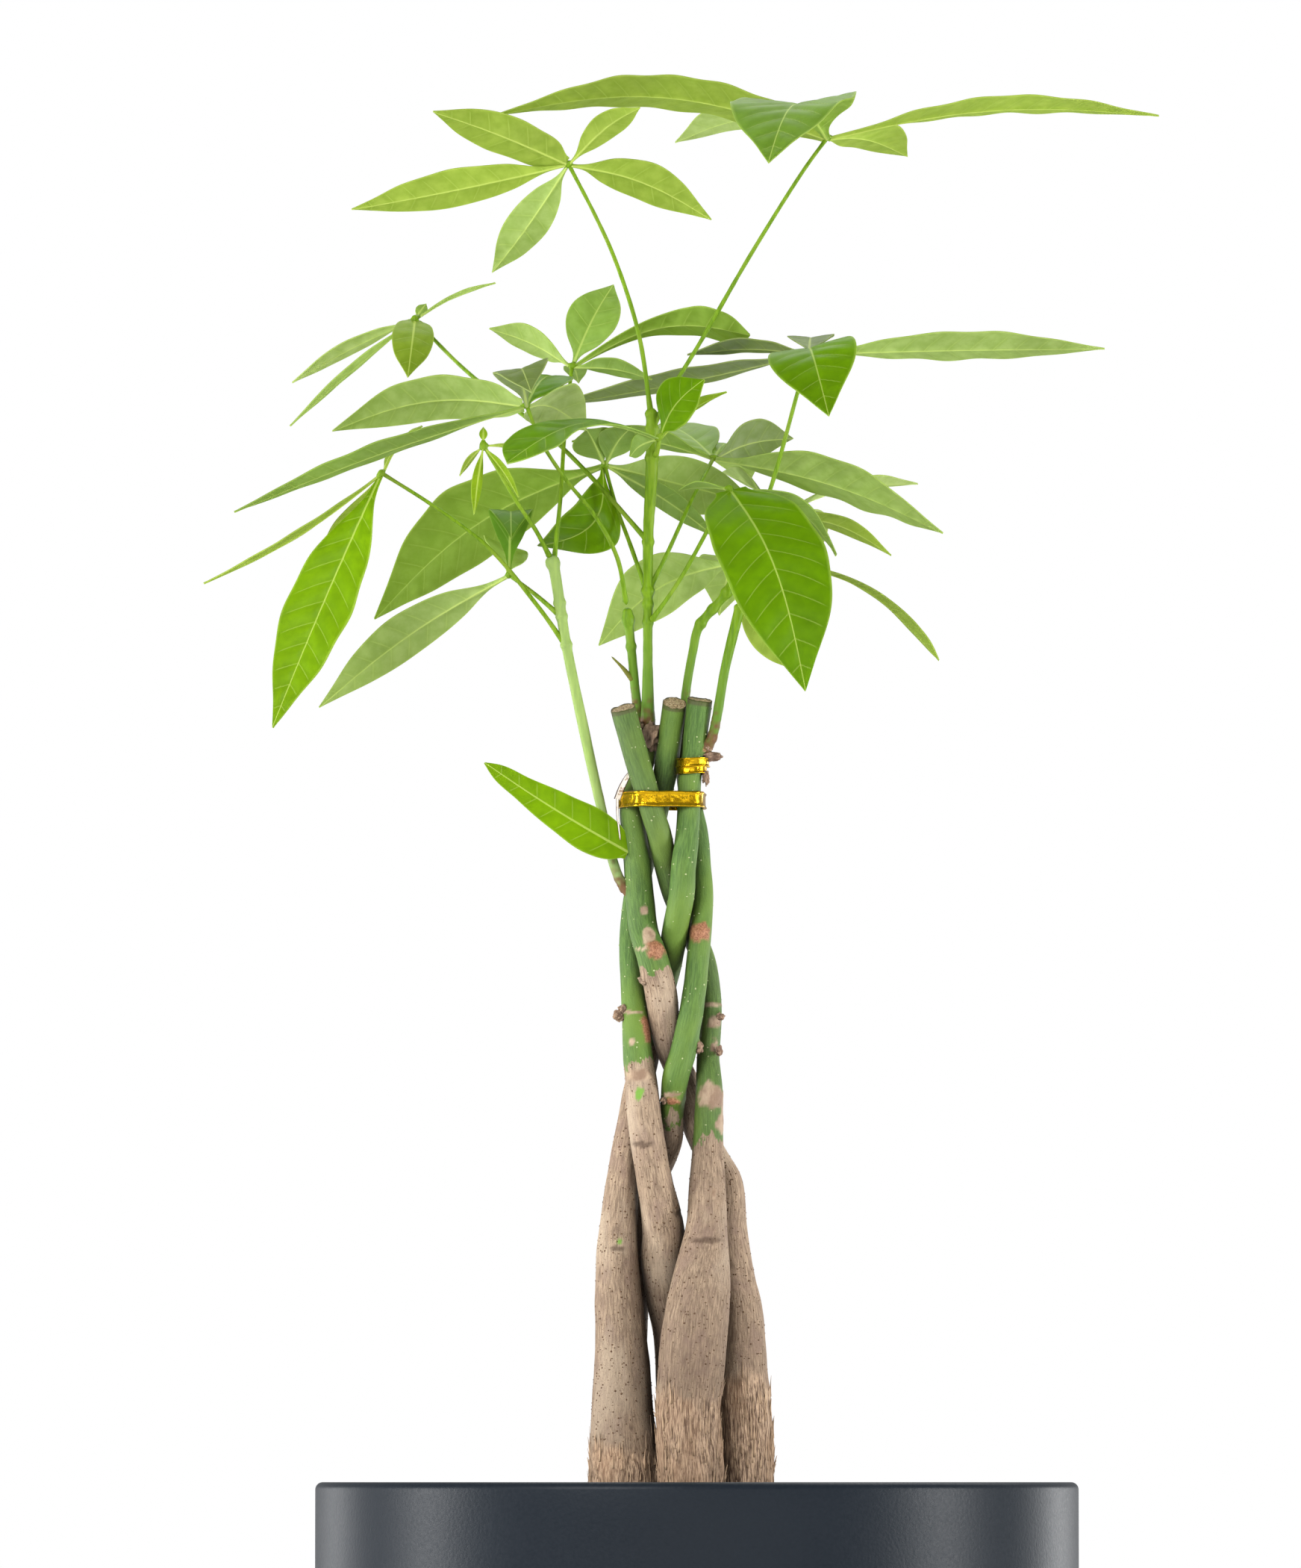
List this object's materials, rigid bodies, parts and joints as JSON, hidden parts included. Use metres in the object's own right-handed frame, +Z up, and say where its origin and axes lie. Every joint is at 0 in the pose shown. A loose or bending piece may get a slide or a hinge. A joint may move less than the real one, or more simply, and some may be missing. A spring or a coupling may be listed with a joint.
{
  "type": "potted money tree",
  "caption": "Braided-trunk money tree with palmate leaves on green shoots, rooted in soil in a straight round dark grey planter",
  "frame": {"origin": "centre of the planter's flat underside, where it stands on a surface", "axes": "+Z up along the planter's axis; -Y is the front that the picture shows; +X to the right in the picture"},
  "size_m": [0.3217, 0.255, 0.6959],
  "materials": {
    "planter": "satin",
    "potting_soil": "matte",
    "bark": "matte",
    "green_shoot": "satin",
    "leaf_blade": "satin",
    "gold_tie": "gloss"
  },
  "bodies": {
    "root": {"pot": "planter", "soil": "potting_soil", "stem_1": "bark", "stem_2": "bark", "stem_3": "bark", "stem_4": "bark", "stem_5": "bark", "main_tie": "gold_tie", "stub_tie": "gold_tie", "shoot_1": "green_shoot", "shoot_2": "green_shoot", "shoot_3": "green_shoot", "shoot_4": "green_shoot", "shoot_5": "green_shoot", "leaf_01": "leaf_blade", "leaf_02": "leaf_blade", "leaf_03": "leaf_blade", "leaf_04": "leaf_blade", "leaf_05": "leaf_blade", "leaf_06": "leaf_blade", "leaf_07": "leaf_blade", "leaf_08": "leaf_blade", "leaf_09": "leaf_blade", "leaf_10": "leaf_blade", "leaf_11": "leaf_blade", "leaf_12": "leaf_blade", "leaf_13": "leaf_blade", "leaf_14": "leaf_blade", "leaf_15": "leaf_blade", "basal_leaf": "leaf_blade"}
  },
  "joints": []
}
